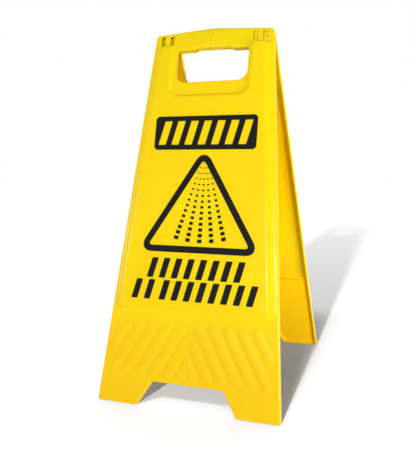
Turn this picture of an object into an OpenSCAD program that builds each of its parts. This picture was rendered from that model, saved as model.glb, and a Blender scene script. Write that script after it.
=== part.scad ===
// A-frame floor sign: two identical moulded panels, the rear one turned half round,
// that snap together at a hinge in their top corners and fold flat for carrying.

/* [Panel] */
// Height of the panel along its slope, from the foot to the shoulders
panel_h = 593; // [450:1:700]
// Width across the feet
base_w = 300; // [260:1:340]
// Width across the shoulders
shoulder_w = 200; // [194:1:240]
// Height of the crown in the middle above the shoulders
crown_rise = 7; // [3:0.5:12]
// Depth of the rim, from the folding plane to the outer skin
rim_depth = 7; // [6.6:0.1:9]
// Thickness of the moulded skin and rim
wall = 2.5; // [2:0.1:3]
// Rounding of the outer edge of the skin
edge_r = 3; // [2.6:0.1:4]
// Rounding of the shoulders
shoulder_r = 7; // [5:0.5:14]
// Rounding of the top of the crown
crown_r = 150; // [60:10:300]
// Rounding of the outer corners of the feet
foot_r = 5; // [4:0.5:9]

/* [Stance] */
// Angle between the two panels when the sign stands open
open_angle = 30; // [20:1:36]
// Gap left between the two rims when the sign is folded
fold_gap = 0.5; // [0.3:0.1:1]
// Gap left between the two stop faces when the sign stands open
stop_gap = 0.3; // [0.2:0.1:0.6]

/* [Foot cut-out] */
// Width of the cut-out between the feet at the floor
cutout_low_w = 162; // [130:1:180]
// Width of the cut-out at its top
cutout_top_w = 117; // [90:1:125]
// Height of the cut-out
cutout_h = 36.5; // [25:0.5:40]
// Rounding of the upper corners of the cut-out
cutout_r = 6; // [3:0.5:10]
// Rounding of the inner corners of the feet
toe_r = 3.5; // [3:0.5:6]

/* [Handle] */
// Width of the handle hole
hole_w = 122; // [100:1:124]
// Height of the handle hole
hole_h = 52.6; // [40:0.1:56]
// Distance from the shoulders down to the top of the handle hole
hole_drop = 27.6; // [26:0.1:40]
// Rounding of the lower corners of the handle hole
hole_r = 17; // [8:0.5:20]
// Rounding of the upper corners of the handle hole
hole_top_r = 3; // [2:0.5:6]
// Rounding of the front edge of the handle hole
hole_edge_r = 2; // [1:0.1:2.4]
// Width of the finger recess in the top of the hole
grip_w = 56; // [40:1:80]
// Rise of the finger recess
grip_rise = 2.6; // [1:0.1:4]
// Length of each slope at the ends of the finger recess
grip_run = 5; // [3:0.5:8]
// How far the middle crease of the handle bar stands proud of the skin
bar_bulge = 1.8; // [0.8:0.1:3]

/* [Raised label field] */
// How far the label field stands proud of the skin
pad_rise = 5; // [3:0.1:7]
// Height of the ledge at the foot of the label field
pad_low = 144; // [130:1:170]
// Distance from the shoulders down to the top of the label field
pad_drop = 20; // [18:0.5:30]
// Distance from the edge of the panel to the foot of the side slope
pad_in = 3.6; // [3.2:0.1:6]
// Length of the side slope of the label field
pad_slope = 11; // [7:0.5:16]
// Length of the steep slope at the ledge
ledge_run = 1.4; // [0.6:0.1:3]
// Rounding of the corners of the label field
pad_r = 12; // [6:0.5:20]
// Width of the dish round the handle hole, at the skin
dish_w = 129; // [126:1:134]
// Distance from the foot of the dish up to the handle hole
dish_below = 22; // [12:0.5:30]
// How much the wall of the dish leans out on its way up
dish_lean = 2.6; // [1:0.1:4]
// Rounding of the lower corners of the dish
dish_r = 15; // [8:0.5:24]

/* [Chevron ribs] */
// Number of ribs on each side
rib_count = 7; // [3:1:7]
// Distance between the ribs across the panel
rib_pitch = 23.4; // [21:0.1:26]
// Width of a rib
rib_w = 13; // [8:0.5:15]
// How far a rib stands proud of the skin
rib_rise = 1.4; // [0.8:0.1:2]
// Slope of the ribs above the level
rib_angle = 60; // [55:1:65]
// Height of the lower ends of the ribs
rib_low = 44; // [42:0.5:50]
// Height of the upper ends of the ribs
rib_high = 130; // [110:1:140]
// Distance from the ends of the ribs to the edge of the panel
rib_margin = 12; // [9:0.5:20]

/* [Hinge] */
// Distance from the shoulders down to the hinge axis
axis_drop = 9; // [8.5:0.1:12]
// Diameter of the moulded hinge pin
pin_d = 4.4; // [3.6:0.1:4.6]
// Radial running gap between the pin and its clips
pin_gap = 0.08; // [0.05:0.01:0.1]
// Outer radius of the clips and of the round ends of the lugs
knuckle_r = 4.15; // [3.8:0.05:4.3]
// Angle of the mouth of a clip
mouth_angle = 100; // [80:1:120]
// Width of a hinge window
window_w = 9.5; // [8:0.5:11]
// Height of a hinge window above the hinge axis
window_up = 6.4; // [5:0.1:6.5]
// Height of a hinge window below the hinge axis
window_down = 10; // [7:0.5:12]
// Distance of the outer window's middle from the edge of the shoulders
window_in = 13.4; // [12.5:0.1:16]
// Distance between the middles of the two windows of a corner
window_pitch = 15.8; // [14:0.1:18]
// Width of the bar that carries a clip across its window
bar_w = 4; // [2.5:0.1:5]
// Width of the lugs at the two ends of the pin
lug_w = 3; // [2:0.1:3.4]
// Side gap between a clip and the window that it stands behind
clip_side_gap = 0.5; // [0.3:0.1:1]
// Side gap between a lug and the window beside it
lug_side_gap = 0.4; // [0.2:0.1:0.8]

/* [Hidden] */

// Colour of the moulded plastic
panel_colour = "#f7d916";
// How far one solid runs into the next, and how far a cut runs past its face
bite = 1;
// Smallest rounding left on an inset corner
least_r = 0.3;
// Straight pieces in each rounded corner and in the rounding of an edge
corner_steps = 6;
edge_steps = 3;
rib_end_steps = 8;
// Heights and runs of the levels of a rounded slope, as shares of the whole
level_rise_shares = [0, 0.55, 0.86, 1];
level_run_shares = [0, 0.5, 0.82, 1];
// Heights and runs of the levels of a rib, as shares of its rise and half width
rib_rise_shares = [0, 0.75, 1];
rib_run_shares = [0, 0.2, 0.5];
// Foot of the innermost rib beside the middle, as a share of the distance between ribs
rib_first_share = 0.39;

half_open = open_angle / 2;
axis_h = panel_h - axis_drop;
axis_z = axis_h * cos(half_open);
// The skin side of the feet reaches lower, because the feet are cut level
foot_h = -(rim_depth + bite) * tan(half_open);
skin_in = rim_depth - wall;
rim_face = fold_gap / 2;
hole_top = panel_h - hole_drop;
hole_low = hole_top - hole_h;
pad_high = panel_h - pad_drop;
window_mid = shoulder_w / 2 - window_in;
windows = [window_mid, window_mid - window_pitch];
clip_w = window_w - 2 * clip_side_gap;
bore_r = pin_d / 2 + pin_gap;
lug_out = window_mid + window_w / 2 + lug_side_gap;
lug_in = window_mid - window_pitch - window_w / 2 - lug_side_gap;
big = panel_h + base_w;

// Half the width of the panel at height h
function half_at(h) = base_w / 2 - (base_w - shoulder_w) / 2 * h / panel_h;
// Half the width of the cut-out at height h
function cut_half_at(h) = cutout_low_w / 2 - (cutout_low_w - cutout_top_w) / 2 * h / cutout_h;

function flat(p) = [p[0], p[1]];
function unit(v) = v / norm(v);
function left(v) = [-v[1], v[0]];
function turned(v, a) = [v[0] * cos(a) - v[1] * sin(a), v[0] * sin(a) + v[1] * cos(a)];
function cross_of(u, v) = u[0] * v[1] - u[1] * v[0];
function heading(c, i) = unit(flat(c[(i + 1) % len(c)]) - flat(c[i % len(c)]));

// The corners [x, h, radius] of an outline moved to its left by d, with the roundings to match
function inset(c, d) = [for (i = [0 : len(c) - 1])
    let (u = heading(c, i + len(c) - 1), v = heading(c, i), n = left(u), m = left(v),
         p = flat(c[i]) + d * (n + m) / (1 + n * m),
         r = c[i][2] - d * sign(cross_of(u, v)))
    [p[0], p[1], max(r, least_r)]];

// The points of an outline with its corners rounded
function rounded(c, steps) = [for (i = [0 : len(c) - 1])
    let (u = heading(c, i + len(c) - 1), v = heading(c, i), s = sign(cross_of(u, v)),
         turn = acos(min(1, u * v)), r = c[i][2],
         start = flat(c[i]) - u * r * tan(turn / 2), mid = start + left(u) * r * s)
    for (k = [0 : steps]) mid + turned(-left(u) * r * s, s * turn * k / steps)];

function lifted(points, z) = [for (p = points) [p[0], p[1], z]];

// Outline of the whole panel, against the clock, with the cut-out between its feet
function panel_corners() = [
    [half_at(foot_h), foot_h, foot_r],
    [half_at(panel_h), panel_h, shoulder_r],
    [0, panel_h + crown_rise, crown_r],
    [-half_at(panel_h), panel_h, shoulder_r],
    [-half_at(foot_h), foot_h, foot_r],
    [-cut_half_at(foot_h), foot_h, toe_r],
    [-cut_half_at(cutout_h), cutout_h, cutout_r],
    [cut_half_at(cutout_h), cutout_h, cutout_r],
    [cut_half_at(foot_h), foot_h, toe_r]];

// Outline of the handle hole, with the clock, so that the plastic lies on its left
function hole_corners() = [
    [-hole_w / 2, hole_low, hole_r],
    [-hole_w / 2, hole_top, hole_top_r],
    [-grip_w / 2 - grip_run, hole_top, hole_top_r],
    [-grip_w / 2, hole_top + grip_rise, hole_top_r],
    [grip_w / 2, hole_top + grip_rise, hole_top_r],
    [grip_w / 2 + grip_run, hole_top, hole_top_r],
    [hole_w / 2, hole_top, hole_top_r],
    [hole_w / 2, hole_low, hole_r]];

// Outline of the label field, with its side slope gone in by run, its ends by ends and its walls by skin
function pad_corners(run, ends, skin) = [
    [half_at(pad_low) - pad_in - run - skin, pad_low + ends + skin, pad_r],
    [half_at(pad_high) - pad_in - run - skin, pad_high - ends - skin, pad_r / 2],
    [-half_at(pad_high) + pad_in + run + skin, pad_high - ends - skin, pad_r / 2],
    [-half_at(pad_low) + pad_in + run + skin, pad_low + ends + skin, pad_r]];

// Outline of the dish round the handle hole, open towards the top and grown by grow
function dish_corners(grow) = [
    [dish_w / 2 + grow, hole_low - dish_below - grow, dish_r],
    [dish_w / 2 + grow, panel_h, least_r],
    [-dish_w / 2 - grow, panel_h, least_r],
    [-dish_w / 2 - grow, hole_low - dish_below - grow, dish_r]];

// The triangles between ring k and ring l, each with n points
function joined(k, l, n) = [for (i = [0 : n - 1])
    let (j = (i + 1) % n)
    each [[k * n + i, l * n + i, l * n + j], [k * n + i, l * n + j, k * n + j]]];

// A solid through a stack of outlines that have the same number of points
module loft(rings) {
    n = len(rings[0]);
    m = len(rings);
    polyhedron(
        points = [for (ring = rings) each ring],
        faces = concat(
            [[for (i = [0 : n - 1]) i]],
            [for (k = [0 : m - 2]) each joined(k, k + 1, n)],
            [[for (i = [n - 1 : -1 : 0]) (m - 1) * n + i]]));
}

// A closed band that follows an outline with the cross-section section, a list of [inset, depth]
module band(corners, section) {
    n = len(corners) * (corner_steps + 1);
    m = len(section);
    polyhedron(
        points = [for (s = section) each lifted(rounded(inset(corners, s[0]), corner_steps), s[1])],
        faces = [for (k = [0 : m - 1]) each joined(k, (k + 1) % m, n)]);
}

// Cross-section of a rim: upright wall, rounded edge and a short piece of the skin
function rim_section(r) = concat(
    [[0, rim_face]],
    [for (k = [0 : edge_steps]) let (a = 90 * k / edge_steps) [r - r * cos(a), rim_depth - r + r * sin(a)]],
    [[r + wall, rim_depth], [r + wall, skin_in], [wall, skin_in], [wall, rim_face]]);

// Rim and flat skin of the panel, with the rimmed handle hole
module tray() {
    band(panel_corners(), rim_section(edge_r));
    band(hole_corners(), rim_section(hole_edge_r));
    translate([0, 0, skin_in]) linear_extrude(wall) difference() {
        polygon(rounded(inset(panel_corners(), edge_r), corner_steps));
        polygon(rounded(inset(hole_corners(), hole_edge_r), corner_steps));
    }
}

// The label field as a solid, or with skin as the hollow inside it
module pad_solid(skin) {
    levels = [for (k = [0 : len(level_run_shares) - 1])
        let (run = pad_slope * level_run_shares[k], ends = ledge_run * level_run_shares[k])
        lifted(rounded(pad_corners(run, ends, skin), corner_steps),
               rim_depth - skin + pad_rise * level_rise_shares[k])];
    foot = lifted(rounded(pad_corners(0, 0, skin), corner_steps), rim_depth - skin - bite);
    loft(concat([foot], levels));
}

// The room that the dish takes out of the label field, grown by grow and starting at depth low
module dish_room(grow, low) {
    high = rim_depth + pad_rise + bite;
    slope = dish_lean / pad_rise;
    loft([
        lifted(rounded(dish_corners(grow + (low - rim_depth) * slope), corner_steps), low),
        lifted(rounded(dish_corners(grow + (high - rim_depth) * slope), corner_steps), high)]);
}

// Low roof on the handle bar, with its crease in the middle of the panel
module bar_roof() {
    w = hole_w / 2;
    low = hole_top + grip_rise + hole_edge_r;
    side = panel_h + crown_rise * (1 - w / half_at(panel_h)) - edge_r;
    mid = panel_h + crown_rise - edge_r;
    foot = rim_depth - bite;
    top = rim_depth + bar_bulge;
    polyhedron(
        points = [[-w, low, foot], [0, low, foot], [w, low, foot],
                  [w, side, foot], [0, mid, foot], [-w, side, foot],
                  [0, low + edge_r, top], [0, mid - edge_r, top]],
        faces = [[0, 1, 2, 3, 4, 5], [0, 5, 7], [0, 7, 6], [5, 4, 7], [0, 6, 1],
                 [3, 2, 6], [3, 6, 7], [4, 3, 7], [2, 1, 6]]);
}

// Plan outline of a straight rib with round ends, from a to b
function rib_outline(a, b, r) = let (u = unit(b - a)) concat(
    [for (k = [0 : rib_end_steps]) b + turned(u * r, -90 + 180 * k / rib_end_steps)],
    [for (k = [0 : rib_end_steps]) a + turned(-u * r, -90 + 180 * k / rib_end_steps)]);

// One rib on the right of the middle, number i from the inside
module rib(i) {
    side = i * rib_pitch + rib_pitch * rib_first_share;
    reach = half_at(rib_low) - rib_margin - rib_w / 2;
    // a rib that would start outside the margin starts higher up its own line
    up = max(0, (side - reach) * tan(rib_angle));
    a = [side - up / tan(rib_angle), rib_low + rib_w / 2 + up];
    rise = rib_high - rib_w / 2 - a[1];
    b = a + [-rise / tan(rib_angle), rise];
    intersection() {
        loft([for (k = [0 : len(rib_rise_shares) - 1])
            lifted(rib_outline(a, b, rib_w / 2 * (1 - rib_run_shares[k])),
                   k == 0 ? rim_depth - bite : rim_depth + rib_rise * rib_rise_shares[k])]);
        cube([big, big, big]);
    }
}

module ribs() {
    for (i = [0 : rib_count - 1]) {
        rib(i);
        mirror([1, 0, 0]) rib(i);
    }
}

// Draws its child profile, [h from the axis, depth], as a plate of width w from x on
module plate(x, w) {
    translate([x, axis_h, 0]) rotate([90, 0, 90]) linear_extrude(w) children();
}

// Window opening number k of a corner, on the right of the middle
module window(k) {
    translate([windows[k] - window_w / 2, axis_h - window_down, skin_in - bite])
        cube([window_w, window_down + window_up, wall + 2 * bite]);
}

// Pin of one corner, on the right of the middle, with the lugs that carry it
module pin_knuckles() {
    translate([lug_in - lug_w, axis_h, 0]) rotate([0, 90, 0])
        cylinder(h = lug_out - lug_in + 2 * lug_w, d = pin_d, $fn = 48);
    for (lug = [[lug_out, lug_w], [lug_in - lug_w, lug_w],
                [windows[1] + window_w / 2 + lug_side_gap, window_pitch - window_w - 2 * lug_side_gap]])
        plate(lug[0], lug[1]) {
            circle(r = knuckle_r, $fn = 48);
            translate([-knuckle_r, 0]) square([2 * knuckle_r, skin_in + wall / 2]);
        }
}

// Open clips of one corner, on the right of the middle, with the bars that carry them
module clip_knuckles() {
    mouth = knuckle_r * 2;
    mouth_half = mouth * tan(mouth_angle / 2);
    for (x = windows) {
        plate(x - clip_w / 2, clip_w) difference() {
            union() {
                circle(r = knuckle_r, $fn = 48);
                translate([-knuckle_r / 2, 0]) square([knuckle_r, skin_in + wall / 2]);
            }
            circle(r = bore_r, $fn = 48);
            polygon([[0, 0], [-mouth_half, -mouth], [mouth_half, -mouth]]);
        }
        translate([x - bar_w / 2, axis_h - window_down - bite / 2, skin_in])
            cube([bar_w, window_down + window_up + bite, wall]);
    }
}

// The whole panel in plan: x across, y up from the foot, z out from the folding plane
module panel_plan() {
    difference() {
        union() {
            tray();
            bar_roof();
            ribs();
            difference() {
                pad_solid(0);
                dish_room(0, rim_depth);
                linear_extrude(rim_depth + bite)
                    polygon(rounded(inset(hole_corners(), hole_edge_r), corner_steps));
            }
        }
        difference() {
            pad_solid(wall);
            dish_room(wall, skin_in - bite);
        }
        for (k = [0, 1]) {
            window(k);
            mirror([1, 0, 0]) window(k);
        }
        // stop face above the hinge, square to the floor when the sign stands open
        translate([0, axis_h, 0]) rotate([half_open, 0, 0])
            translate([-base_w, 0, stop_gap / 2 - big]) cube([2 * base_w, big, big]);
    }
    clip_knuckles();
    mirror([1, 0, 0]) pin_knuckles();
}

// One panel standing at its half of the opening angle, with its skin towards -y and level feet
module standing_panel() {
    color(panel_colour) intersection() {
        translate([0, 0, axis_z]) rotate([90 - half_open, 0, 0]) translate([0, -axis_h, 0]) panel_plan();
        translate([-big, -big, 0]) cube([2 * big, 2 * big, big]);
    }
}

module front_panel() {
    standing_panel();
}

module rear_panel() {
    rotate([0, 0, 180]) standing_panel();
}

front_panel();
rear_panel();
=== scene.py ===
import math

import bmesh
import bpy
from mathutils import Matrix, Vector


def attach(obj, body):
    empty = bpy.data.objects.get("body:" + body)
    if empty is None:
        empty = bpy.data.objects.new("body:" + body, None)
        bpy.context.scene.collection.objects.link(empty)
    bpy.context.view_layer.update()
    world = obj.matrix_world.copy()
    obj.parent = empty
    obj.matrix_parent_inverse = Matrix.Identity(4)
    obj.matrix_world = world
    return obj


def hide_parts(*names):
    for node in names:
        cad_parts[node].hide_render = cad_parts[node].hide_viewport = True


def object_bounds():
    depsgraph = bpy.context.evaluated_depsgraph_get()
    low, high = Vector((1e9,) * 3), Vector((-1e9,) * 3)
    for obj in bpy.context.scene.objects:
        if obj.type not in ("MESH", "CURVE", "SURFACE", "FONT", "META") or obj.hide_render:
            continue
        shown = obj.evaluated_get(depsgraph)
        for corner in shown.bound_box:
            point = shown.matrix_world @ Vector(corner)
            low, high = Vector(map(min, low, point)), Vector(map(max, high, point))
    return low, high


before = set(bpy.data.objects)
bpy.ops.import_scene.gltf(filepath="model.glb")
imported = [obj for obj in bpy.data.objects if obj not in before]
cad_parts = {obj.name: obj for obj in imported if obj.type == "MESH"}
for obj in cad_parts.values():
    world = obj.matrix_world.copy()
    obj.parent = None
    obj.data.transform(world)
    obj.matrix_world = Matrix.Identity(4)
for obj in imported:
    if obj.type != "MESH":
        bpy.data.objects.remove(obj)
cad_low, cad_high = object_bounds()

# Sizes in metres. On a panel, x runs across, y up its slope from the feet, z out of its face.

# Outline of a panel
PANEL_H = 0.593
BASE_W = 0.300
SHOULDER_W = 0.200
CROWN_RISE = 0.007
FOOT_H = -0.00214
FOOT_R = 0.005
TOE_R = 0.0035
SHOULDER_R = 0.007
CROWN_R = 0.150

# Moulded skin and rim
RIM_FACE = 0.00025  # from the folding plane to the rim
RIM_DEPTH = 0.007
WALL = 0.0025
SKIN_IN = RIM_DEPTH - WALL
EDGE_R = 0.003
BITE = 0.001  # how far a piece reaches into what it joins or cuts
WIDE = 0.5  # more than any width of the sign

# Cut-out between the feet
CUTOUT_LOW_W = 0.162
CUTOUT_TOP_W = 0.117
CUTOUT_H = 0.0365
CUTOUT_R = 0.006

# Handle hole with its finger recess
HOLE_W = 0.122
HOLE_LOW = 0.5128
HOLE_TOP = 0.5654
HOLE_R = 0.017
HOLE_TOP_R = 0.003
HOLE_EDGE_R = 0.002
GRIP_W = 0.056
GRIP_RISE = 0.0026
GRIP_RUN = 0.005
BAR_BULGE = 0.0018
BEAD_R = 0.0032
BEAD_IN = 0.0012
BEAD_RISE = 0.0010

# Raised label field and the dish round the handle hole
PAD_RISE = 0.005
PAD_LOW = 0.144
PAD_HIGH = 0.573
PAD_IN = 0.0036
PAD_SLOPE = 0.011
LEDGE_RUN = 0.0014
PAD_R = 0.012
PAD_EDGE_R = 0.0035
DISH_W = 0.129
DISH_BELOW = 0.022
DISH_LEAN = 0.0026
DISH_R = 0.015
FOOT_FILLET = 0.0009

# Chevron ribs
RIB_COUNT = 7
RIB_PITCH = 0.0234
RIB_FIRST = 0.0091
RIB_W = 0.013
RIB_ANGLE = math.radians(60)
RIB_LOW = 0.044
RIB_HIGH = 0.130
RIB_MARGIN = 0.012
RIB_STEPS = ((0.0006, 0.0006), (0.0010, 0.0004), (0.0016, 0.0003), (0.0020, 0.0001))

# Snap hinge
HALF_OPEN = math.radians(15)
AXIS_H = 0.584
AXIS_Z = AXIS_H * math.cos(HALF_OPEN)
STOP_GAP = 0.0003
PIN_D = 0.0044
BORE_D = 0.00456
KNUCKLE_R = 0.00415
WINDOW_W = 0.0095  # room for a clip between two lugs
WINDOWS = (0.0866, 0.0708)
SLOT_W = 0.0076  # slot in the face in front of it
SLOT_UP = 0.0054
SLOT_DOWN = 0.0088
CLIP_W = 0.0085
BAR_W = 0.004
LUG_W = 0.003
LUG_GAP = 0.0004
MOUTH_ANGLE = math.radians(100)

# Flat pieces in each rounding
CORNER_STEPS = 8
SMALL_STEPS = 6
EDGE_STEPS = 5
FINE_STEPS = 3
ARC_STEPS = 12
CROWN_STEPS = 10
FOOT_STEPS = 7
GRIP_STEPS = 4
ROD_SIDES = 48
BEAD_RINGS = 24


# Modelling steps

def pick(piece):
    """Selects one piece alone and makes it the active one."""
    bpy.ops.object.select_all(action="DESELECT")
    piece.select_set(True)
    bpy.context.view_layer.objects.active = piece


def mark(piece, kind, test):
    """Selects the edges or faces of a piece in edit mode that pass a test."""
    bpy.ops.mesh.select_mode(type=kind)
    mesh = bmesh.from_edit_mesh(piece.data)
    mesh.normal_update()
    bpy.ops.mesh.select_all(action="DESELECT")
    found = 0
    for element in mesh.edges if kind == "EDGE" else mesh.faces:
        if test(element):
            element.select_set(True)
            found += 1
    bmesh.update_edit_mesh(piece.data)
    return found


def block(name, low, high):
    """A box between two corners."""
    low, high = Vector(low), Vector(high)
    bpy.ops.object.select_all(action="DESELECT")
    bpy.ops.mesh.primitive_cube_add(size=1, location=(low + high) / 2)
    piece = bpy.context.active_object
    piece.name = name
    piece.scale = high - low
    bpy.ops.object.transform_apply(location=True, rotation=True, scale=True)
    return piece


def trim(piece, point, normal):
    """Cuts away what lies beyond a plane and closes the cut."""
    pick(piece)
    bpy.ops.object.mode_set(mode="EDIT")
    bpy.ops.mesh.select_all(action="SELECT")
    bpy.ops.mesh.bisect(plane_co=point, plane_no=normal, use_fill=True, clear_outer=True,
                        threshold=BITE / 1000)
    bpy.ops.object.mode_set(mode="OBJECT")


def soften(piece, test, width, steps):
    """Rounds the edges that pass a test."""
    pick(piece)
    bpy.ops.object.mode_set(mode="EDIT")
    if mark(piece, "EDGE", test):
        bpy.ops.mesh.bevel(offset_type="OFFSET", offset=width, segments=steps, profile=0.5,
                           affect="EDGES", clamp_overlap=False)
    bpy.ops.object.mode_set(mode="OBJECT")


def middle(element):
    """The middle of an edge or a face."""
    points = [v.co for v in element.verts]
    return sum(points, Vector()) / len(points)


def upright(edge):
    """Whether an edge stands square to the panel."""
    along = edge.verts[1].co - edge.verts[0].co
    return abs(along.z) > 0.9 * along.length


def round_corner(piece, test, radius, steps):
    """Rounds the upright edges that pass a test to a radius, whatever angle the sides make."""
    mesh = bmesh.new()
    mesh.from_mesh(piece.data)
    turns = [e.calc_face_angle(0) for e in mesh.edges if upright(e) and test(middle(e))]
    mesh.free()
    if turns:
        soften(piece, lambda e: upright(e) and test(middle(e)),
               radius * math.tan(max(turns) / 2), steps)


def combine(piece, other, how):
    """Joins another piece to a piece, or cuts it away, and uses it up."""
    pick(piece)
    step = piece.modifiers.new("combine", "BOOLEAN")
    step.object = other
    step.operation = how
    step.solver = "EXACT"
    bpy.ops.object.modifier_apply(modifier=step.name)
    bpy.data.objects.remove(other)


def copy_of(piece, name):
    """A copy of a piece with a mesh of its own."""
    twin = piece.copy()
    twin.data = piece.data.copy()
    twin.name = name
    bpy.context.scene.collection.objects.link(twin)
    return twin


def settle(piece, place):
    """Moves a piece by a matrix and leaves its object at the origin."""
    piece.matrix_world = place
    pick(piece)
    bpy.ops.object.transform_apply(location=True, rotation=True, scale=True)


def joined(pieces, name):
    """Several pieces as one."""
    bpy.ops.object.select_all(action="DESELECT")
    for piece in pieces:
        piece.select_set(True)
    bpy.context.view_layer.objects.active = pieces[0]
    bpy.ops.object.join()
    pieces[0].name = name
    return pieces[0]


# Panel

SIDE_OUT = Vector((PANEL_H, (BASE_W - SHOULDER_W) / 2, 0)).normalized()
CROWN_OUT = Vector((CROWN_RISE, SHOULDER_W / 2, 0)).normalized()
CUTOUT_OUT = Vector((CUTOUT_H, (CUTOUT_LOW_W - CUTOUT_TOP_W) / 2, 0)).normalized()
GRIP_OUT = Vector((GRIP_RISE, GRIP_RUN, 0)).normalized()


def half_at(h):
    """Half the width of the panel at height h."""
    return BASE_W / 2 - (BASE_W - SHOULDER_W) / 2 * h / PANEL_H


def trim_both(piece, point, out):
    """Cuts a piece at a slanted plane on the right and at its mirror image on the left."""
    for side in (1, -1):
        trim(piece, (side * point[0], point[1], point[2]), (side * out[0], out[1], out[2]))


def outline_block(name, inset, low, high):
    """The panel's outline, drawn in by inset, as a plate between two depths."""
    piece = block(name, (-WIDE, FOOT_H + inset, low), (WIDE, PANEL_H + CROWN_RISE, high))
    trim_both(piece, Vector((BASE_W / 2, 0, 0)) - inset * SIDE_OUT, SIDE_OUT)
    trim_both(piece, Vector((0, PANEL_H + CROWN_RISE, 0)) - inset * CROWN_OUT, CROWN_OUT)
    gap = block("gap", (-WIDE, FOOT_H - WALL, low - BITE), (WIDE, CUTOUT_H + inset, high + BITE))
    trim_both(gap, Vector((CUTOUT_LOW_W / 2, 0, 0)) + inset * CUTOUT_OUT, CUTOUT_OUT)
    round_corner(gap, lambda p: p.y > CUTOUT_H / 2, CUTOUT_R + inset, CORNER_STEPS)
    combine(piece, gap, "DIFFERENCE")
    near_foot = FOOT_H + inset + BITE
    round_corner(piece, lambda p: p.y < near_foot and abs(p.x) > BASE_W / 3,
                 FOOT_R - inset, FOOT_STEPS)
    round_corner(piece, lambda p: p.y < near_foot and abs(p.x) < BASE_W / 3,
                 TOE_R - inset, SMALL_STEPS)
    round_corner(piece, lambda p: p.y > PAD_HIGH and abs(p.x) > SHOULDER_W / 3,
                 SHOULDER_R - inset, CORNER_STEPS)
    round_corner(piece, lambda p: p.y > PAD_HIGH and abs(p.x) < BITE,
                 CROWN_R - inset, CROWN_STEPS)
    return piece


def hole_block(name, grow, low, high):
    """The handle hole with its finger recess, grown by grow, as a plug between two depths."""
    piece = block(name, (-HOLE_W / 2 - grow, HOLE_LOW - grow, low),
                  (HOLE_W / 2 + grow, HOLE_TOP + grow, high))
    recess = block("recess", (-HOLE_W / 2, HOLE_TOP - GRIP_RISE, low),
                   (HOLE_W / 2, HOLE_TOP + GRIP_RISE + grow, high))
    trim_both(recess, Vector((GRIP_W / 2, HOLE_TOP + GRIP_RISE, 0)) + grow * GRIP_OUT, GRIP_OUT)
    combine(piece, recess, "UNION")
    round_corner(piece, lambda p: p.y < HOLE_LOW + BITE, HOLE_R + grow, ARC_STEPS)
    round_corner(piece, lambda p: p.y > HOLE_TOP - BITE and abs(p.x) > GRIP_W,
                 HOLE_TOP_R + grow, EDGE_STEPS)
    round_corner(piece, lambda p: p.y > HOLE_TOP - BITE and abs(p.x) < GRIP_W,
                 HOLE_TOP_R, GRIP_STEPS)
    return piece


def rise_of(edge):
    """How much an edge climbs out of the panel."""
    return abs((edge.verts[1].co - edge.verts[0].co).z)


def pad_block(name, skin):
    """The raised label field as a solid, or with skin as the hollow inside it."""
    floor = RIM_DEPTH - skin
    piece = block(name, (-WIDE, PAD_LOW + skin, floor - BITE), (WIDE, PAD_HIGH - skin, floor))
    trim_both(piece, Vector((BASE_W / 2, 0, 0)) - (PAD_IN + skin) * SIDE_OUT, SIDE_OUT)
    pick(piece)
    bpy.ops.object.mode_set(mode="EDIT")
    mark(piece, "FACE", lambda f: f.normal.z > 0.9)
    bpy.ops.mesh.extrude_region_move(TRANSFORM_OT_translate={"value": (0, 0, PAD_RISE)})
    for test, move in ((lambda p: p.x > 0, (-PAD_SLOPE, 0, 0)),
                       (lambda p: p.x < 0, (PAD_SLOPE, 0, 0)),
                       (lambda p: p.y < PANEL_H / 2, (0, LEDGE_RUN, 0)),
                       (lambda p: p.y > PANEL_H / 2, (0, -LEDGE_RUN, 0))):
        mark(piece, "EDGE", lambda e: middle(e).z > floor + BITE
             and all(test(v.co) for v in e.verts) and not upright(e))
        bpy.ops.transform.translate(value=move)
    bpy.ops.object.mode_set(mode="OBJECT")
    soften(piece, lambda e: rise_of(e) > BITE / 2 and middle(e).y < PANEL_H / 2,
           PAD_R, CORNER_STEPS)
    soften(piece, lambda e: rise_of(e) > BITE / 2 and middle(e).y > PANEL_H / 2,
           PAD_R / 2, SMALL_STEPS)
    return piece


def dish_block(name, grow, low):
    """The room round the handle hole that the label field leaves free, grown by grow."""
    piece = block(name, (-WIDE, 0, low), (WIDE, PANEL_H, RIM_DEPTH + PAD_RISE + BITE))
    side = Vector((PAD_RISE, 0, -DISH_LEAN)).normalized()
    trim_both(piece, (DISH_W / 2 + grow, 0, RIM_DEPTH), side)
    trim(piece, (0, HOLE_LOW - DISH_BELOW - grow, RIM_DEPTH), (0, -side.x, side.z))
    soften(piece, lambda e: middle(e).y < HOLE_LOW and rise_of(e) > BITE, DISH_R + grow, CROWN_STEPS)
    return piece


def label_field():
    """The raised label field with its dish and soft upper edges."""
    piece = pad_block("label_field", 0)
    combine(piece, dish_block("dish", 0, RIM_DEPTH - 2 * BITE), "DIFFERENCE")
    top = RIM_DEPTH + PAD_RISE
    soften(piece, lambda e: all(v.co.z > top - BITE / 10 for v in e.verts), PAD_EDGE_R, EDGE_STEPS)
    return piece


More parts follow.
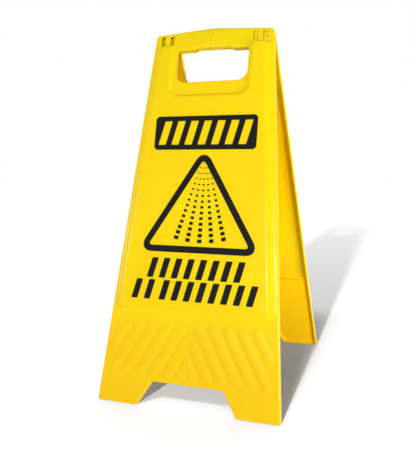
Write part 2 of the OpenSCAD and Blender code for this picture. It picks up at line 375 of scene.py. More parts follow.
def rib(number):
    """One chevron rib on the right of the middle, counted from the inside."""
    foot_x = RIB_FIRST + number * RIB_PITCH
    reach = half_at(RIB_LOW) - RIB_MARGIN - RIB_W / 2
    up = max(0, (foot_x - reach) * math.tan(RIB_ANGLE))
    foot = Vector((foot_x - up / math.tan(RIB_ANGLE), RIB_LOW + RIB_W / 2 + up, 0))
    length = (RIB_HIGH - RIB_W / 2 - foot.y) / math.sin(RIB_ANGLE)
    piece = block("rib", (-RIB_W / 2, -RIB_W / 2, RIM_DEPTH - BITE),
                  (length + RIB_W / 2, RIB_W / 2, RIM_DEPTH))
    soften(piece, upright, RIB_W / 2 - BITE / 20, CORNER_STEPS)
    pick(piece)
    bpy.ops.object.mode_set(mode="EDIT")
    top, radius = RIM_DEPTH, RIB_W / 2
    for run, rise in RIB_STEPS:
        mark(piece, "FACE", lambda f: f.normal.z > 0.9)
        bpy.ops.mesh.extrude_region_move(TRANSFORM_OT_translate={"value": (0, 0, rise)})
        top += rise
        narrower = (radius - run) / radius
        radius -= run
        for end in (0, length):
            mark(piece, "EDGE", lambda e: all(v.co.z > top - BITE / 20 and abs(v.co.x - end) < RIB_W
                                              for v in e.verts))
            bpy.ops.transform.resize(value=(narrower, narrower, 1), center_override=(end, 0, top))
    bpy.ops.object.mode_set(mode="OBJECT")
    settle(piece, Matrix.Translation(foot) @ Matrix.Rotation(math.pi - RIB_ANGLE, 4, "Z"))
    pick(piece)
    bpy.ops.object.mode_set(mode="EDIT")
    bpy.ops.mesh.select_all(action="SELECT")
    bpy.ops.mesh.bisect(plane_co=(0, 0, 0), plane_no=(-1, 0, 0), use_fill=False, clear_outer=True)
    bpy.ops.object.mode_set(mode="OBJECT")
    return piece


def chevron_ribs():
    """All ribs, those that meet on the middle line grown into one."""
    piece = joined([rib(number) for number in range(RIB_COUNT)], "ribs")
    pick(piece)
    twin = piece.modifiers.new("twin", "MIRROR")
    twin.merge_threshold = BITE / 100
    bpy.ops.object.modifier_apply(modifier=twin.name)
    return piece


def bar_roof():
    """The low crease in the middle of the handle bar."""
    foot, top = RIM_DEPTH - BITE, RIM_DEPTH + BAR_BULGE
    low = HOLE_TOP + GRIP_RISE + HOLE_EDGE_R + BITE / 2
    high = PANEL_H + CROWN_RISE - EDGE_R
    piece = block("bar_roof", (-HOLE_W / 2, low, foot), (HOLE_W / 2, high, top))
    trim_both(piece, (0, 0, top), Vector((top - foot, 0, HOLE_W / 2)).normalized())
    trim(piece, (0, low, foot), Vector((0, foot - top, EDGE_R)).normalized())
    rise = top - foot
    crown = Vector((CROWN_RISE * rise, SHOULDER_W / 2 * rise, SHOULDER_W / 2 * EDGE_R)).normalized()
    trim_both(piece, (0, high, foot), crown)
    soften(piece, lambda e: abs(middle(e).x) < BITE / 10 and middle(e).z > top - BITE / 10,
           4 * EDGE_R, SMALL_STEPS)
    return piece


def bar_bead():
    """The slim bead down the middle of the handle bar."""
    low, high = HOLE_TOP + GRIP_RISE + 2 * HOLE_EDGE_R, PANEL_H + CROWN_RISE - 2 * EDGE_R
    bpy.ops.object.select_all(action="DESELECT")
    bpy.ops.mesh.primitive_uv_sphere_add(segments=ROD_SIDES, ring_count=BEAD_RINGS, radius=1)
    piece = bpy.context.active_object
    piece.name = "bead"
    bpy.ops.object.transform_apply(location=True, rotation=True, scale=True)
    settle(piece, Matrix.Translation((0, (low + high) / 2, RIM_DEPTH + BAR_BULGE - BEAD_IN))
           @ Matrix.Diagonal((BEAD_R, (high - low) / 2, BEAD_IN + BEAD_RISE, 1)))
    return piece


def rod(name, radius, start, end):
    """A round rod along the hinge axis."""
    bpy.ops.object.select_all(action="DESELECT")
    bpy.ops.mesh.primitive_cylinder_add(vertices=ROD_SIDES, radius=radius, depth=end - start,
                                        location=((start + end) / 2, AXIS_H, 0),
                                        rotation=(0, math.pi / 2, 0))
    piece = bpy.context.active_object
    piece.name = name
    bpy.ops.object.transform_apply(location=True, rotation=True, scale=True)
    return piece


def lug(start, end):
    """A lug that carries the pin, from the axis to the skin."""
    piece = rod("lug", KNUCKLE_R, start, end)
    half = KNUCKLE_R - BITE / 5
    foot = block("lug_foot", (start, AXIS_H - half, 0), (end, AXIS_H + half, SKIN_IN + WALL / 2))
    combine(piece, foot, "UNION")
    return piece


def pin_and_lugs():
    """The hinge pin with its three lugs, in the left corner."""
    inner = WINDOWS[1] - WINDOW_W / 2 - LUG_GAP
    outer = WINDOWS[0] + WINDOW_W / 2 + LUG_GAP
    between = WINDOWS[1] + WINDOW_W / 2 + LUG_GAP
    piece = rod("pin", PIN_D / 2, -outer - LUG_W, -inner + LUG_W)
    for start, end in ((inner - LUG_W, inner),
                       (between, WINDOWS[0] - WINDOW_W / 2 - LUG_GAP),
                       (outer, outer + LUG_W)):
        combine(piece, lug(-end, -start), "UNION")
    return piece


def clip(window):
    """One open clip with the bar across its window, in the right corner."""
    start, end = window - CLIP_W / 2, window + CLIP_W / 2
    piece = rod("clip", KNUCKLE_R, start, end)
    foot = block("clip_foot", (start, AXIS_H - KNUCKLE_R / 2, 0),
                 (end, AXIS_H + KNUCKLE_R / 2, SKIN_IN + WALL / 2))
    combine(piece, foot, "UNION")
    combine(piece, rod("bore", BORE_D / 2, start - BITE, end + BITE), "DIFFERENCE")
    mouth = block("mouth", (start - BITE, AXIS_H - 3 * KNUCKLE_R, -2 * KNUCKLE_R),
                  (end + BITE, AXIS_H + 3 * KNUCKLE_R, 0))
    for way in (1, -1):
        trim(mouth, (0, AXIS_H, 0), (0, way * math.cos(MOUTH_ANGLE / 2), math.sin(MOUTH_ANGLE / 2)))
    combine(piece, mouth, "DIFFERENCE")
    bar = block("bar", (window - BAR_W / 2, AXIS_H - SLOT_DOWN - BITE / 2, SKIN_IN + BITE / 10),
                (window + BAR_W / 2, AXIS_H + SLOT_UP + BITE / 2, RIM_DEPTH - BITE / 10))
    soften(bar, lambda e: middle(e).z > RIM_DEPTH - BITE / 2 and abs(middle(e).x - window) > BITE,
           BITE, FINE_STEPS)
    combine(piece, bar, "UNION")
    return piece


def on_skin_foot(edge):
    """Whether an edge is an inner corner where something rises from the skin."""
    if any(abs(v.co.z - RIM_DEPTH) > BITE / 50 for v in edge.verts) or len(edge.link_faces) != 2:
        return False
    flat = [f for f in edge.link_faces if f.normal.z > 0.999]
    risen = [f for f in edge.link_faces if f.normal.z < 0.85 and middle(f).z > RIM_DEPTH]
    return len(flat) == 1 and len(risen) == 1


def on_face(element):
    """Whether all of an edge lies on the flat face of the rim."""
    return all(v.co.z > RIM_DEPTH - BITE / 10 for v in element.verts)


def at_hole(edge):
    """Whether an edge belongs to the handle hole."""
    return all(abs(v.co.x) < HOLE_W / 2 + BITE
               and HOLE_LOW - BITE < v.co.y < HOLE_TOP + GRIP_RISE + BITE for v in edge.verts)


def outer_face():
    """The face of the panel with all that rises from it."""
    panel = outline_block("front_moulding", 0, RIM_FACE, RIM_DEPTH)
    soften(panel, on_face, EDGE_R, SMALL_STEPS)
    combine(panel, hole_block("hole", 0, -BITE, RIM_DEPTH + BITE), "DIFFERENCE")
    soften(panel, lambda e: on_face(e) and at_hole(e), HOLE_EDGE_R, EDGE_STEPS)
    for risen in (label_field, chevron_ribs, bar_roof, bar_bead):
        combine(panel, risen(), "UNION")
    soften(panel, on_skin_foot, FOOT_FILLET, FINE_STEPS)
    return panel


def hollow_back(panel):
    """Takes the room behind the skin and behind the label field out of the panel."""
    room = outline_block("room", WALL, -BITE, SKIN_IN)
    combine(room, hole_block("hole_wall", WALL, -2 * BITE, RIM_DEPTH), "DIFFERENCE")
    combine(panel, room, "DIFFERENCE")
    hollow = pad_block("hollow", WALL)
    combine(hollow, dish_block("dish_wall", WALL, 0), "DIFFERENCE")
    combine(panel, hollow, "DIFFERENCE")


def slots_and_stop(panel):
    """Cuts the hinge slots and the sloping face on which the open panels meet."""
    for x in (WINDOWS[0], WINDOWS[1], -WINDOWS[0], -WINDOWS[1]):
        combine(panel, block("slot", (x - SLOT_W / 2, AXIS_H - SLOT_DOWN, SKIN_IN - BITE),
                             (x + SLOT_W / 2, AXIS_H + SLOT_UP, RIM_DEPTH + BITE)), "DIFFERENCE")
    stop = block("stop", (-WIDE, 0, -WIDE), (WIDE, WIDE, STOP_GAP / 2))
    settle(stop, Matrix.Translation((0, AXIS_H, 0)) @ Matrix.Rotation(HALF_OPEN, 4, "X"))
    combine(panel, stop, "DIFFERENCE")


def moulded_panel():
    """The whole panel, drawn flat."""
    panel = outer_face()
    hollow_back(panel)
    slots_and_stop(panel)
    combine(panel, pin_and_lugs(), "UNION")
    for window in WINDOWS:
        combine(panel, clip(window), "UNION")
    return panel


# Places of the standing front panel and, turned half round, of the rear one
STAND = (Matrix.Translation((0, 0, AXIS_Z)) @ Matrix.Rotation(math.pi / 2 - HALF_OPEN, 4, "X")
         @ Matrix.Translation((0, -AXIS_H, 0)))
TURN = Matrix.Rotation(math.pi, 4, "Z")


def smooth(piece, angle):
    """Smooth shading that keeps the flats flat."""
    pick(piece)
    bpy.ops.object.mode_set(mode="EDIT")
    bpy.ops.mesh.select_all(action="SELECT")
    bpy.ops.mesh.remove_doubles(threshold=BITE / 500)
    bpy.ops.mesh.normals_make_consistent(inside=False)
    bpy.ops.object.mode_set(mode="OBJECT")
    bpy.ops.object.shade_smooth_by_angle(angle=angle)
    even = piece.modifiers.new("even", "WEIGHTED_NORMAL")
    even.keep_sharp = True
    bpy.ops.object.modifier_apply(modifier=even.name)


# Print: thin ink shapes on the label field

INK_LOW = RIM_DEPTH + PAD_RISE - BITE / 20
INK_HIGH = RIM_DEPTH + PAD_RISE + BITE / 10
INK_CORNER = 0.0008

# Left, low, right and high side of the band, and its bars: first, last and number
BANNER = (-0.0845, 0.4005, 0.0860, 0.4545)
BANNER_R = 0.0065
BANNER_BARS = (-0.0665, 0.0680, 7)
BANNER_BAR_W = 0.0125
BANNER_BAR_LOW = 0.4085
BANNER_BAR_HIGH = 0.4465

# Middles of the frame's three round corners
SIGN_LEFT = (-0.0738, 0.2525)
SIGN_RIGHT = (0.0803, 0.2517)
SIGN_TOP = (0.00275, 0.3778)
SIGN_OUTER = 0.014
SIGN_STROKE = 0.0102

FAN_MIDDLE = 0.0055
FAN_LOW = 0.2571
FAN_HIGH = 0.3800
FAN_ROWS = 15
FAN_COLUMNS = 5
FAN_PITCH = 0.0196
FAN_TOP_SHARE = 0.13
FAN_SAG = 0.0012
DROP_W = 0.0073
DROP_H = 0.0057
DROP_TOP_SHARE = 0.22

# Each row of bars: left end, right end, number of bars, foot and head
ROWS = ((-0.0695, 0.0735, 8, 0.1980, 0.2290),
        (-0.0935, -0.0720, 2, 0.1640, 0.1945),
        (-0.0465, 0.0960, 8, 0.1640, 0.1945))
ROW_BAR_W = 0.0105
BAR_LEAN = math.radians(14)


def ink(name, low, high, spill=0):
    """A thin flat shape of ink on the label field, or with spill a cutter for one."""
    return block(name, (low[0], low[1], INK_LOW - spill), (high[0], high[1], INK_HIGH + spill))


def slanted_bar(name, x, width, low, high, spill):
    """One slanted bar with its middle at x."""
    lean = Vector((math.cos(BAR_LEAN), -math.sin(BAR_LEAN), 0))
    centre = Vector((x, (low + high) / 2, 0))
    piece = ink(name, (x - WIDE / 4, low), (x + WIDE / 4, high), spill)
    trim(piece, centre + Vector((width / 2, 0, 0)), lean)
    trim(piece, centre - Vector((width / 2, 0, 0)), -lean)
    round_corner(piece, lambda p: True, INK_CORNER, FINE_STEPS)
    return piece


def row_of_bars(name, first, last, count, width, low, high, spill=0):
    """Slanted bars at even steps between two middles."""
    start = slanted_bar(name, first, width, low, high, spill)
    step = (last - first) / (count - 1)
    bars = [start]
    for number in range(1, count):
        bar = copy_of(start, name)
        settle(bar, Matrix.Translation((number * step, 0, 0)))
        bars.append(bar)
    return joined(bars, name)


def banner():
    """The upper band, with slanted bars left free of ink."""
    piece = ink("banner", BANNER[:2], BANNER[2:])
    round_corner(piece, lambda p: True, BANNER_R, CORNER_STEPS)
    bars = row_of_bars("gaps", *BANNER_BARS, BANNER_BAR_W, BANNER_BAR_LOW, BANNER_BAR_HIGH, BITE)
    combine(piece, bars, "DIFFERENCE")
    return piece


def round_triangle(name, radius, spill=0):
    """A triangle round three points, with round corners."""
    corners = [Vector((*p, 0)) for p in (SIGN_LEFT, SIGN_RIGHT, SIGN_TOP)]
    piece = ink(name, (-WIDE / 2, SIGN_LEFT[1] - radius), (WIDE / 2, SIGN_TOP[1] + WIDE / 4), spill)
    for start, end in ((corners[1], corners[2]), (corners[2], corners[0])):
        along = (end - start).normalized()
        out = Vector((along.y, -along.x, 0))
        trim(piece, start + radius * out, out)
    round_corner(piece, lambda p: True, radius, ARC_STEPS)
    return piece


def triangle_frame():
    """The frame of the three-cornered sign."""
    piece = round_triangle("triangle_frame", SIGN_OUTER)
    inner = round_triangle("inner", SIGN_OUTER - SIGN_STROKE, BITE)
    combine(piece, inner, "DIFFERENCE")
    return piece


def fan_of_drops():
    """Small blocks in columns that spread from a point at the top."""
    start = ink("drops", (-DROP_W / 2, -DROP_H / 2), (DROP_W / 2, DROP_H / 2))
    soften(start, upright, INK_CORNER / 2, 2)
    drops = []
    for row in range(FAN_ROWS):
        share = row / (FAN_ROWS - 1)
        spread = 1 - (1 - FAN_TOP_SHARE) * share
        size = 1 - (1 - DROP_TOP_SHARE) * share
        for column in range(FAN_COLUMNS):
            place = column - (FAN_COLUMNS - 1) / 2
            x = FAN_MIDDLE + place * FAN_PITCH * spread
            y = FAN_LOW + (FAN_HIGH - FAN_LOW) * share + FAN_SAG * place ** 2 * spread
            lean = -math.atan(place * FAN_PITCH * (1 - FAN_TOP_SHARE) / (FAN_HIGH - FAN_LOW))
            drop = copy_of(start, "drops")
            settle(drop, Matrix.Translation((x, y, 0)) @ Matrix.Rotation(-lean, 4, "Z")
                   @ Matrix.Diagonal((size, size, 1, 1)))
            drops.append(drop)
    bpy.data.objects.remove(start)
    return joined(drops, "drops")


def prints():
    """Everything printed on one panel."""
    pieces = [banner(), triangle_frame(), fan_of_drops()]
    for number, (first, last, count, low, high) in enumerate(ROWS):
        pieces.append(row_of_bars(f"row_{number + 1}", first, last, count, ROW_BAR_W, low, high))
    return pieces


# Materials

# Grain and slow waves of the moulded skin: scales and fineness
GRAIN_SCALE = 1400.0
WAVE_SCALE = 14.0

# Rubbed patches and the short scratches in them
PATCH_SCALE = 22.0
PATCH_DETAIL = 4.0
PATCH_ROUGHNESS = 0.6
PATCH_RANGE = (0.52, 0.72)
SCRATCH_TURN = (0.3, 0.2, 0.5)
SCRATCH_SCALE = (900.0, 60.0, 60.0)
SCRATCH_RANGE = (0.56, 0.66)

# Drift of the colour, and painted shade: a deeper colour towards the floor that stands in for the
# shade low down
TONE_SCALE = 9.0
TONE_DETAIL = 3.0
TONE_RANGE = (0.3, 0.8)
TONE_SHARE = 0.35
# Painted shade: height below which the colour deepens, and its share at the floor
PAINTED_SHADE_TOP = 0.20
PAINTED_SHADE_SHARE = 0.65

# Colour sockets of a Mix node
MIX_FIRST, MIX_SECOND, MIX_OUT = 6, 7, 2


def node(tree, kind, **values):
    """A shader node with its settings and socket values."""
    made = tree.nodes.new(kind)
    for name, value in values.items():
        if name in made.inputs:
            made.inputs[name].default_value = value
        else:
            setattr(made, name, value)
    return made


def ramp(tree, span, low=0.0, high=1.0):
    """A Map Range node from a span of values to low and high."""
    return node(tree, "ShaderNodeMapRange", **{"From Min": span[0], "From Max": span[1],
                                               "To Min": low, "To Max": high})


def sockets(group, inputs, outputs):
    """Names the inputs and outputs of a node group."""
    for name, kind, value in inputs:
        made = group.interface.new_socket(name, in_out="INPUT", socket_type=kind)
        made.default_value = value
    for name, kind in outputs:
        group.interface.new_socket(name, in_out="OUTPUT", socket_type=kind)
    return group.nodes.new("NodeGroupInput"), group.nodes.new("NodeGroupOutput")


def moulded_grain():
    """A height of fine grain over slow waves, as a moulded surface has."""
    group = bpy.data.node_groups.new("moulded_grain", "ShaderNodeTree")
    start, end = sockets(group, [("Place", "NodeSocketVector", (0, 0, 0)),
                                 ("Grain", "NodeSocketFloat", 1.0),
                                 ("Waves", "NodeSocketFloat", 1.0)],
                         [("Height", "NodeSocketFloat")])
    link = group.links.new
    grain = node(group, "ShaderNodeTexNoise", Scale=GRAIN_SCALE, Detail=2.0)
    waves = node(group, "ShaderNodeTexNoise", Scale=WAVE_SCALE, Detail=1.0)
    fine = node(group, "ShaderNodeMath", operation="MULTIPLY")
    slow = node(group, "ShaderNodeMath", operation="MULTIPLY")
    both = node(group, "ShaderNodeMath", operation="ADD")
    for texture in (grain, waves):
        link(start.outputs["Place"], texture.inputs["Vector"])
    link(grain.outputs["Fac"], fine.inputs[0])
    link(start.outputs["Grain"], fine.inputs[1])
    link(waves.outputs["Fac"], slow.inputs[0])
    link(start.outputs["Waves"], slow.inputs[1])
    link(fine.outputs[0], both.inputs[0])
    link(slow.outputs[0], both.inputs[1])
    link(both.outputs[0], end.inputs["Height"])
    return group


def scuffs():
    """A mask of faint rubbed patches with short scratches in them."""
    group = bpy.data.node_groups.new("scuffs", "ShaderNodeTree")
    start, end = sockets(group, [("Place", "NodeSocketVector", (0, 0, 0)),
                                 ("Amount", "NodeSocketFloat", 0.5)],
                         [("Mask", "NodeSocketFloat")])
    link = group.links.new
    patches = node(group, "ShaderNodeTexNoise", Scale=PATCH_SCALE, Detail=PATCH_DETAIL,
                   Roughness=PATCH_ROUGHNESS)
    where = ramp(group, PATCH_RANGE)
    stretch = node(group, "ShaderNodeMapping", Rotation=SCRATCH_TURN, Scale=SCRATCH_SCALE)
    lines = node(group, "ShaderNodeTexNoise", Scale=1.0, Detail=2.0)
    thin = ramp(group, SCRATCH_RANGE)
    both = node(group, "ShaderNodeMath", operation="MULTIPLY")
    amount = node(group, "ShaderNodeMath", operation="MULTIPLY")
    link(start.outputs["Place"], patches.inputs["Vector"])
    link(start.outputs["Place"], stretch.inputs["Vector"])
    link(stretch.outputs["Vector"], lines.inputs["Vector"])
    link(patches.outputs["Fac"], where.inputs["Value"])
    link(lines.outputs["Fac"], thin.inputs["Value"])
    link(where.outputs["Result"], both.inputs[0])
    link(thin.outputs["Result"], both.inputs[1])
    link(both.outputs[0], amount.inputs[0])
    link(start.outputs["Amount"], amount.inputs[1])
    link(amount.outputs[0], end.inputs["Mask"])
    return group


def tone():
    """A colour that drifts between two tones, with painted shade that leans it to the deeper one
    near the floor.
    """
    group = bpy.data.node_groups.new("tone", "ShaderNodeTree")
    start, end = sockets(group, [("Place", "NodeSocketVector", (0, 0, 0)),
                                 ("Light", "NodeSocketColor", (1, 1, 1, 1)),
                                 ("Deep", "NodeSocketColor", (0, 0, 0, 1)),
                                 ("Scale", "NodeSocketFloat", TONE_SCALE)],
                         [("Color", "NodeSocketColor")])
    link = group.links.new
    drift = node(group, "ShaderNodeTexNoise", Detail=TONE_DETAIL)
    spread = ramp(group, TONE_RANGE, high=TONE_SHARE)
    apart = node(group, "ShaderNodeSeparateXYZ")
    # Painted shade: the share of the deeper colour grows towards the floor
    height = ramp(group, (0.0, PAINTED_SHADE_TOP), PAINTED_SHADE_SHARE, 0.0)
    both = node(group, "ShaderNodeMath", operation="ADD", use_clamp=True)
    mix = node(group, "ShaderNodeMix", data_type="RGBA")
    link(start.outputs["Place"], drift.inputs["Vector"])
    link(start.outputs["Place"], apart.inputs["Vector"])
    link(start.outputs["Scale"], drift.inputs["Scale"])
    link(drift.outputs["Fac"], spread.inputs["Value"])
    link(apart.outputs["Z"], height.inputs["Value"])
    link(spread.outputs["Result"], both.inputs[0])
    link(height.outputs["Result"], both.inputs[1])
    link(both.outputs[0], mix.inputs["Factor"])
    link(start.outputs["Light"], mix.inputs[MIX_FIRST])
    link(start.outputs["Deep"], mix.inputs[MIX_SECOND])
    link(mix.outputs[MIX_OUT], end.inputs["Color"])
    return group


GRAIN, SCUFFS, TONE_AND_SHADE = moulded_grain(), scuffs(), tone()


def use(tree, group, place, **values):
    """A shared effect in a material."""
    made = tree.nodes.new("ShaderNodeGroup")
    made.node_tree = group
    for name, value in values.items():
        made.inputs[name].default_value = value
    tree.links.new(place, made.inputs["Place"])
    return made


# What light does inside the plastic, and how glossy a smooth plastic is
GLOW_COLOUR = (1.0, 0.4, 0.04)
GLOW_DEPTH = 0.005
PLASTIC_IOR = 1.49
GRAIN_HEIGHT = 0.001


def surface(name, light, deep_and_shade, rough, worn_rough, scuffed, grain, waves, specular, glow):
    """A plastic or ink surface from the shared effects, its colour with painted shade towards the
    floor; scuffs make it rougher.
    """
    material = bpy.data.materials.new(name)
    material.use_nodes = True
    tree = material.node_tree
    link = tree.links.new
    shader = tree.nodes["Principled BSDF"]
    shader.inputs["IOR"].default_value = PLASTIC_IOR
    shader.inputs["Specular IOR Level"].default_value = specular
    shader.inputs["Subsurface Weight"].default_value = glow
    shader.inputs["Subsurface Radius"].default_value = GLOW_COLOUR
    shader.inputs["Subsurface Scale"].default_value = GLOW_DEPTH
    place = node(tree, "ShaderNodeTexCoord").outputs["Object"]
    # Base colour with painted shade: deeper towards the floor
    colour = use(tree, TONE_AND_SHADE, place, Light=light, Deep=deep_and_shade)
    rubbed = use(tree, SCUFFS, place, Amount=scuffed)
    height = use(tree, GRAIN, place, Grain=grain, Waves=waves)
    roughness = ramp(tree, (0.0, 1.0), rough, worn_rough)
    bump = node(tree, "ShaderNodeBump", Strength=1.0, Distance=GRAIN_HEIGHT)
    link(colour.outputs["Color"], shader.inputs["Base Color"])
    link(rubbed.outputs["Mask"], roughness.inputs["Value"])
    link(roughness.outputs["Result"], shader.inputs["Roughness"])
    link(height.outputs["Height"], bump.inputs["Height"])
    link(bump.outputs["Normal"], shader.inputs["Normal"])
    return material


def yellow_plastic():
    """Half-gloss yellow polypropylene; its deeper amber towards the floor is painted shade."""
    return surface("yellow_plastic", light=(0.95, 0.715, 0.002, 1), deep_and_shade=(0.88, 0.53, 0.006, 1),
                   rough=0.23, worn_rough=0.42, scuffed=0.8, grain=0.010, waves=0.10,
                   specular=0.12, glow=0.6)


def black_ink():
    """Satin black screen-printing ink."""
    return surface("black_ink", light=(0.010, 0.009, 0.010, 1), deep_and_shade=(0.015, 0.013, 0.014, 1),
                   rough=0.38, worn_rough=0.55, scuffed=0.8, grain=0.010, waves=0.02,
                   specular=0.05, glow=0)


# Object: the front panel stood up and trimmed to the floor and the frame, then the rear one

SMOOTH_ANGLE = math.radians(40)

panel = moulded_panel()
inks = prints()
for piece in [panel] + inks:
    settle(piece, STAND)
trim(panel, (0, 0, 0), (0, 0, -1))
trim(panel, (0, 0, cad_high[2]), (0, 0, 1))
trim(panel, (0, cad_low[1], 0), (0, -1, 0))
smooth(panel, SMOOTH_ANGLE)

plastic, black = yellow_plastic(), black_ink()
looks = {}
for body, cad_node in (("front", "front_panel"), ("rear", "rear_panel")):
    for piece in [panel] + inks:
        made = piece
        if body == "rear":
            made = copy_of(piece, piece.name.replace("front_", ""))
            settle(made, TURN)
        made.name = f"{body}_{piece.name.replace('front_', '')}"
        made.data.materials.clear()
        made.data.materials.append(plastic if piece is panel else black)
        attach(made, body)
        if piece is panel:
            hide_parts(cad_node)
            looks[body] = made

# Camera at the photograph's place, for a picture 416 by 452 pixels

PICTURE_W, PICTURE_H = 416, 452
FOCAL = 465.19
CENTRE = (271.11, 249.89)
SENSOR = 36.0
CAMERA_PLACE = (0.29428, -0.74583, 0.37242)
CAMERA_DOWN = math.radians(10.82)
CAMERA_LEFT = math.radians(15.06)

camera_data = bpy.data.cameras.new("camera")
camera_data.sensor_fit = "HORIZONTAL"
camera_data.sensor_width = SENSOR
camera_data.lens = SENSOR * FOCAL / PICTURE_W
camera_data.shift_x = (PICTURE_W / 2 - CENTRE[0]) / PICTURE_W
camera_data.shift_y = (CENTRE[1] - PICTURE_H / 2) / PICTURE_W
camera = bpy.data.objects.new("camera", camera_data)
camera.location = CAMERA_PLACE
camera.rotation_euler = (math.pi / 2 - CAMERA_DOWN, 0, CAMERA_LEFT)
bpy.context.scene.collection.objects.link(camera)
bpy.context.scene.camera = camera


# Studio: a white floor that keeps the shadow, a low sun from the front and soft lamps

FLOOR_SIZE = 40
FLOOR_GREY = (0.12, 0.12, 0.12, 1)  # for the light that the floor throws back
FLOOR_SEEN = (0.255, 0.255, 0.255)  # for what the camera sees

# Painted shade in the nook under the object: reach, openness from which it is bright, and brightness
# when closed
NOOK_REACH = 0.25
NOOK_OPEN = 0.86
NOOK_LIGHT = 0.2
NOOK_SAMPLES = 8

# Fade of the floor to white with the distance
FADE_START = -0.2
FADE_REACH = 1.6
FADE_LENGTHS = 10

SKY = 0.18
SUN_TO = Vector((0.02, 0.957, -0.288))
HIGH_TO = Vector((0.09, 0.60, -1.00)).normalized()
SUN = 0.39 * math.pi
FLOOR_SUN = 7.6 * math.pi
FLOOR_HIGH = 2.0 * math.pi
SUN_ANGLE = math.radians(2.5)
HIGH_ANGLE = math.radians(9)
SUN_AWAY = 5

WHITE = (1, 1, 1)
WARM = (1, 0.97, 0.9)
WARMER = (1, 0.96, 0.85)

# Each soft lamp: place, target, width and height, power, colour
LEFT_BOX = ((-1.58, -1.05, 0.65), (-0.1, -0.1, 0.26), (0.3, 0.5), 9, WHITE)
RIGHT_BOX = ((1.2, -0.55, 0.15), (0.12, 0.1, 0.25), (0.4, 0.25), 13, WARM)
REAR_BOX = ((1.2, -0.55, 0.15), (0.12, 0.1, 0.25), (0.4, 0.25), 8, WARMER)
BACK_BOX = ((-0.5, 1.9, 0.8), (0, 0.1, 0.3), (0.9, 0.7), 30, WHITE)


def seen_rays(tree):
    """One where a ray comes from the camera or from a gloss or glass that shows the background."""
    path = node(tree, "ShaderNodeLightPath")
    first = node(tree, "ShaderNodeMath", operation="MAXIMUM")
    both = node(tree, "ShaderNodeMath", operation="MAXIMUM")
    tree.links.new(path.outputs["Is Camera Ray"], first.inputs[0])
    tree.links.new(path.outputs["Is Glossy Ray"], first.inputs[1])
    tree.links.new(first.outputs[0], both.inputs[0])
    tree.links.new(path.outputs["Is Transmission Ray"], both.inputs[1])
    return both.outputs[0]


def nook_shade(tree):
    """The floor's colour as seen, with painted shade that darkens the nook under the object."""
    nook = node(tree, "ShaderNodeAmbientOcclusion", samples=NOOK_SAMPLES, Distance=NOOK_REACH)
    darker = ramp(tree, (0.0, NOOK_OPEN), NOOK_LIGHT, 1.0)
    tint = node(tree, "ShaderNodeVectorMath", operation="SCALE")
    tint.inputs[0].default_value = FLOOR_SEEN
    tree.links.new(nook.outputs["AO"], darker.inputs["Value"])
    tree.links.new(darker.outputs["Result"], tint.inputs["Scale"])
    return tint.outputs["Vector"]


def distance_fade(tree):
    """Zero near the object and one far away, where the floor is as white as the background."""
    place = node(tree, "ShaderNodeTexCoord")
    distance = node(tree, "ShaderNodeVectorMath", operation="LENGTH")
    lengths = ramp(tree, (FADE_START, FADE_START + FADE_LENGTHS * FADE_REACH), 0.0, FADE_LENGTHS)
    fall = node(tree, "ShaderNodeMath", operation="POWER")
    fall.inputs[0].default_value = 1 / math.e
    fade = node(tree, "ShaderNodeMath", operation="SUBTRACT")
    fade.inputs[0].default_value = 1.0
    tree.links.new(place.outputs["Object"], distance.inputs[0])
    tree.links.new(distance.outputs["Value"], lengths.inputs["Value"])
    tree.links.new(lengths.outputs["Result"], fall.inputs[1])
    tree.links.new(fall.outputs[0], fade.inputs[1])
    return fade.outputs[0]


def floor_material():
    """Plain pale floor that fades to the white of the background away from the object."""
    material = bpy.data.materials.new("floor")
    material.use_nodes = True
    tree = material.node_tree
    link = tree.links.new
    tree.nodes.remove(tree.nodes["Principled BSDF"])
    plain = node(tree, "ShaderNodeBsdfDiffuse", Color=FLOOR_GREY)
    shaded = node(tree, "ShaderNodeBsdfDiffuse")
    white = node(tree, "ShaderNodeEmission", Strength=1.0)
    seen = node(tree, "ShaderNodeMixShader")
    both = node(tree, "ShaderNodeMixShader")
    link(nook_shade(tree), shaded.inputs["Color"])
    link(distance_fade(tree), seen.inputs["Fac"])
    link(shaded.outputs["BSDF"], seen.inputs[1])
    link(white.outputs["Emission"], seen.inputs[2])
    link(seen_rays(tree), both.inputs["Fac"])
    link(plain.outputs["BSDF"], both.inputs[1])
    link(seen.outputs["Shader"], both.inputs[2])
    link(both.outputs["Shader"], tree.nodes["Material Output"].inputs["Surface"])
    return material


bpy.ops.object.select_all(action="DESELECT")
bpy.ops.mesh.primitive_plane_add(size=FLOOR_SIZE)
floor = bpy.context.active_object
floor.name = "floor"
floor.data.materials.append(floor_material())

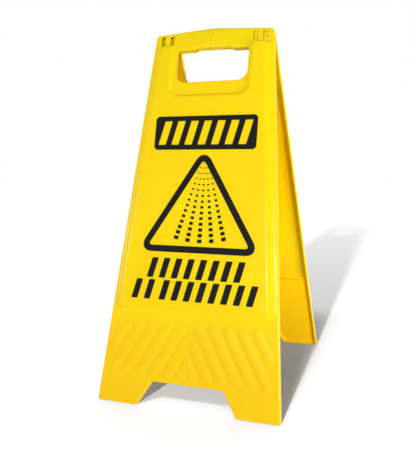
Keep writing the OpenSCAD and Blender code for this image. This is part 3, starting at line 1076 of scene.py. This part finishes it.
world = bpy.data.worlds.new("studio")
bpy.context.scene.world = world
world.use_nodes = True
sky = world.node_tree
strength = ramp(sky, (0.0, 1.0), SKY, 1.0)
sky.links.new(seen_rays(sky), strength.inputs["Value"])
sky.links.new(strength.outputs["Result"], sky.nodes["Background"].inputs["Strength"])
sky.nodes["Background"].inputs["Color"].default_value = (*WHITE, 1)


def aim(lamp, place, target):
    """Points a lamp at a place."""
    lamp.location = place
    lamp.rotation_euler = (Vector(place) - Vector(target)).to_track_quat("Z", "Y").to_euler()
    bpy.context.scene.collection.objects.link(lamp)


def light_group(name, piece, state):
    """A group that says whether lamps reach only a piece or all but that piece."""
    group = bpy.data.collections.new(name)
    group.objects.link(piece)
    group.collection_objects[0].light_linking.link_state = state
    return group


only_floor = light_group("only_floor", floor, "INCLUDE")
all_but_floor = light_group("all_but_floor", floor, "EXCLUDE")
only_rear = light_group("only_rear", looks["rear"], "INCLUDE")


def far_lamp(name, travel, strength, angle, reach):
    """A lamp far away that shines along travel, for what its group names."""
    lamp = bpy.data.lights.new(name, "SUN")
    lamp.energy = strength
    lamp.angle = angle
    holder = bpy.data.objects.new(name, lamp)
    holder.light_linking.receiver_collection = reach
    aim(holder, -SUN_AWAY * travel, (0, 0, 0))


def soft_lamp(name, box, reach):
    """A soft lamp with a width and a height, for what its group names."""
    place, target, size, power, colour = box
    lamp = bpy.data.lights.new(name, "AREA")
    lamp.shape = "RECTANGLE"
    lamp.size, lamp.size_y = size
    lamp.energy = power
    lamp.color = colour
    holder = bpy.data.objects.new(name, lamp)
    holder.light_linking.receiver_collection = reach
    aim(holder, place, target)


far_lamp("sun", SUN_TO, SUN, SUN_ANGLE, all_but_floor)
far_lamp("floor_sun", SUN_TO, FLOOR_SUN, SUN_ANGLE, only_floor)
far_lamp("floor_high", HIGH_TO, FLOOR_HIGH, HIGH_ANGLE, only_floor)
soft_lamp("left_box", LEFT_BOX, all_but_floor)
soft_lamp("right_box", RIGHT_BOX, all_but_floor)
soft_lamp("rear_box", REAR_BOX, only_rear)
soft_lamp("back_box", BACK_BOX, all_but_floor)

bpy.context.scene.view_settings.view_transform = "Standard"
